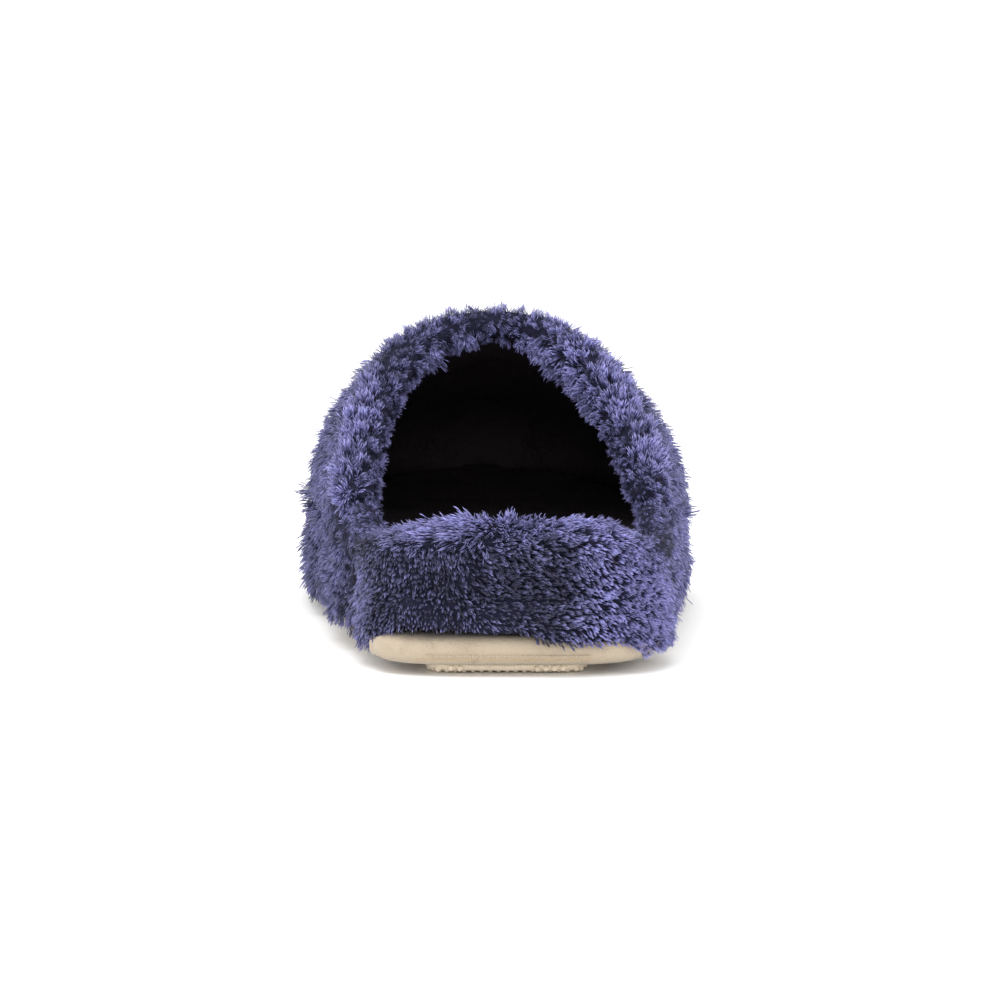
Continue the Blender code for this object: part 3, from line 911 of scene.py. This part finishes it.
def upper_plan(spot, normal):
    """Combed down the sides and forward over the vamp, shorter beside the collar; painted shade darkens it
    beside the collar and in the troughs.
    """
    rolls = min(near_collar.find_nearest(spot)[3], near_heel_roll.find_nearest(spot)[3])
    covered = rolls < 0.0006 or near_wrap.find_nearest(spot)[3] < 0.0018
    shown = faces_out(spot, normal) and not covered and normal.z > -0.6
    front = eased(spot.y, -0.03, 0.05)
    beside = 1 - eased(near_collar.find_nearest(spot)[3], 0.003, 0.014)
    comb = Vector((0, 0.7 * front, -1.0))
    comb -= normal * comb.dot(normal)
    trough_shade = PAINTED_TROUGH_SHADE * flexed(spot) * max(0.0, normal.z)
    reach = 0.0043 + 0.0005 * eased(spot.x, -0.010, 0.010) + 0.0006 * front - 0.0010 * beside
    return (1.0 if shown else 0.0), reach, 0.0, 0.46 - 0.22 * beside - trough_shade, comb


upper_mesh = merged_copy("upper")
upper_mesh.normal_update()
outside = {vertex.index for vertex in upper_mesh.verts if faces_out(vertex.co, vertex.normal)}
smoothed(upper_mesh, 6, lambda vertex: vertex.index not in outside)
for vertex in upper_mesh.verts:
    if vertex.index in outside and vertex.normal.z > 0.1:
        vertex.co -= flexed(vertex.co) * min(1.0, 2 * vertex.normal.z) * vertex.normal
upper_mesh.normal_update()
upper_shell = piece_from(upper_mesh, "upper_shell", [terry_ground, lining_cloth])
for polygon in upper_shell.data.polygons:
    polygon.material_index = 0 if faces_out(polygon.center, polygon.normal) else 1
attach(upper_shell, "root")
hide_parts("upper")


def half_plan(side):
    """The upper's plan on one side of its middle line: -1 is the medial side, 1 the lateral."""
    def plan(spot, normal):
        pile, *rest = upper_plan(spot, normal)
        return pile * (1.0 if side * spot.x >= 0 else 0.0), *rest
    return plan


for name, side, seed in (("medial_pile", -1, 21), ("lateral_pile", 1, 22)):
    pile_on(
        upper_shell, name, long_tufts, half_plan(side), seed, 330000,
        lean=1.3, mess=0.5, stand=0.35, pull=0.5, depth=0.4,
    )


# Collar: a padded roll of terry round the opening, sewn to the vamp's edge and stuffed.
# Its ends come down on the front ends of the heel roll, one at each side.
def collar_plan(spot, normal):
    """Combed up along the roll and over the vamp outside, and a little into the opening inside."""
    clear = near_upper.find_nearest(spot)[3] > 0.0010
    away = Vector((spot.x, 0, spot.z - 0.045)).normalized()
    inner = eased(-normal.dot(away), -0.3, 0.5)
    top = eased(spot.z, 0.066, 0.084)
    end = 1 - eased(spot.z, 0.043, 0.053)
    side = abs(spot.x)
    corner = eased(spot.z, 0.064, 0.072) * eased(side, 0.004, 0.010) * (1 - eased(side, 0.018, 0.026))
    lateral = eased(spot.x, 0.0, 0.015) * eased(spot.z, 0.058, 0.064)
    climb = Vector((-0.25 * spot.x / 0.045, 0.35 + 0.65 * top, 0.9 - 1.0 * top))
    corner *= 1 - 0.7 * eased(spot.x, -0.005, 0.005)
    into = Vector((0, -0.6, 0.2)) - (0.05 + 0.4 * lateral + 0.9 * corner) * away
    comb = (1 - end) * ((1 - inner) * (0.9 * climb + 0.2 * (1 - top) * away) + inner * into)
    outside_reach = 0.0045 - 0.0011 * top
    inside_reach = 0.0026 + 0.0020 * lateral + 0.0018 * corner
    reach = outside_reach + (inside_reach - outside_reach) * inner
    # Painted light: the tone is paler toward the top and on the right side.
    tone = 0.52 + 0.08 * top + 0.10 * eased(spot.x, 0.0, 0.02)
    return (1.0 if clear else 0.0), reach, 0.0, tone, comb


collar_wrap = piece_from(smoothed(merged_copy("collar"), 3), "collar_wrap", [terry_ground])
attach(collar_wrap, "root")
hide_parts("collar")
pile_on(
    collar_wrap, "collar_pile", long_tufts, collar_plan, 31, 960000,
    lean=1.1, mess=0.55, stand=0.4, variety=0.26, pull=1.2,
)


# Heel roll: a fatter padded roll of terry along the top of the heel wall, sewn to it below.
# Its top is combed to both sides from a parting near the middle, and its back down and aside.
RIGHT_SAG = 0.0034
LEFT_SAG = 0.0024
MIDDLE = 0.002
CROWN = -0.0065
PARTING = 0.004


def heel_roll_plan(spot, normal):
    """Long and pale on top, with a tall crown left of the parting; short and dark low at the back."""
    clear = near_upper.find_nearest(spot)[3] > 0.0010 and near_wrap.find_nearest(spot)[3] > 0.0002
    top = max(0.0, normal.z)
    side = eased(spot.y - heel_back, 0.010, 0.035)
    corner = eased(abs(spot.x - MIDDLE), 0.026, 0.040)
    flow = math.tanh((spot.x - MIDDLE) / 0.015)
    low = (1 - eased(spot.z, 0.033, 0.040)) * (1 - side) * (1 - eased(spot.x, 0.014, 0.030))
    left = eased(-spot.x, 0.0, 0.012) * (1 - side)
    fall = -0.4 * (1 - top) - 0.5 * side - 0.9 * corner
    comb = Vector((1.2 * top * flow + 0.5 * (1 - top), -0.4 * top, fall))
    comb.x -= 1.2 * left * (1 - low)
    comb.y -= 0.5 * top * math.exp(-(((spot.x - PARTING) / 0.010) ** 2))
    streak = left * (1 - low) * (1 - eased(normal.z, 0.55, 0.85))
    crown = math.exp(-(((spot.x - CROWN) / 0.009) ** 2)) * (1 - low)
    reach = 0.0048 - 0.0014 * side - 0.0010 * corner - 0.0010 * low + 0.0022 * streak
    reach += 0.0013 * crown - 0.0010 * left * (1 - crown) * eased(normal.z, 0.5, 0.9)
    # The tone is painted light and shade: paler where the roll faces up, darker toward its sides and low at
    # the back.
    return (1.0 if clear else 0.0), reach, 0.0, 0.58 + 0.22 * top - 0.16 * side - 0.36 * low, comb


heel_roll_mesh = smoothed(merged_copy("heel_roll"), 3)
for vertex in heel_roll_mesh.verts:
    sag = RIGHT_SAG * eased(vertex.co.x, 0.024, 0.040) + LEFT_SAG * eased(-vertex.co.x, 0.012, 0.036)
    vertex.co.z -= sag * (1 - eased(vertex.co.y - heel_back, 0.030, 0.055))
heel_roll_wrap = piece_from(heel_roll_mesh, "heel_roll_wrap", [terry_ground])
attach(heel_roll_wrap, "root")
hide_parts("heel_roll")
pile_on(
    heel_roll_wrap, "heel_roll_pile", long_tufts, heel_roll_plan, 41, 820000,
    lean=0.8, mess=0.35, stand=0.25, variety=0.28, pull=0.4, depth=0.4,
)

# Every pile is planted now, so the loose tufts that they were made from go.
for kinds in (short_tufts, long_tufts):
    for kind in list(kinds.objects):
        bpy.data.objects.remove(kind)
    bpy.data.collections.remove(kinds)


# Studio: a plain white floor that runs into a white room, a broad soft light overhead, two
# weaker ones at the sides and a low one beside the camera, which looks at the heel.
FLOOR_HALF = 60
floor_mesh = bmesh.new()
bmesh.ops.create_grid(floor_mesh, x_segments=8, y_segments=8, size=FLOOR_HALF)
floor_paper = cloth_finish("floor_paper", (0.86, 0.86, 0.86), (0.90, 0.90, 0.90), 0.02, 0.0001, 0.0)
floor = piece_from(floor_mesh, "floor", [floor_paper])


def soft_light(name, place, aim, size, power):
    """A square light of the given size, turned to the point that it aims at."""
    lamp = bpy.data.lights.new(name, "AREA")
    lamp.size = size
    lamp.energy = power
    light = bpy.data.objects.new(name, lamp)
    light.location = place
    light.rotation_euler = (Vector(aim) - Vector(place)).to_track_quat("-Z", "Y").to_euler()
    bpy.context.scene.collection.objects.link(light)


soft_light("overhead", (-0.15, -0.35, 1.2), (0, -0.05, 0.04), 0.9, 10)
soft_light("left", (-1.1, -0.7, 0.5), (0, -0.1, 0.04), 0.7, 3)
soft_light("right", (1.1, -0.6, 0.5), (0, -0.1, 0.04), 0.7, 4)
soft_light("front", (0.1, -1.9, 0.25), (0, -0.13, 0.02), 1.0, 6)
world = bpy.data.worlds.new("studio")
world.use_nodes = True
world.node_tree.nodes["Background"].inputs["Color"].default_value = (1, 1, 1, 1)
world.node_tree.nodes["Background"].inputs["Strength"].default_value = 1.25
bpy.context.scene.world = world
bpy.context.scene.view_settings.view_transform = "Standard"

DISTANCE = 1.70
ELEVATION = math.radians(6)
FOCAL_LENGTH = 231.3
AIM = Vector((0.0008, heel_back, 0.0481))
lens = bpy.data.cameras.new("camera")
lens.sensor_width = 36
lens.lens = FOCAL_LENGTH
camera = bpy.data.objects.new("camera", lens)
camera.location = AIM + DISTANCE * Vector((0, -math.cos(ELEVATION), math.sin(ELEVATION)))
camera.rotation_euler = (AIM - camera.location).to_track_quat("-Z", "Y").to_euler()
bpy.context.scene.collection.objects.link(camera)
bpy.context.scene.camera = camera
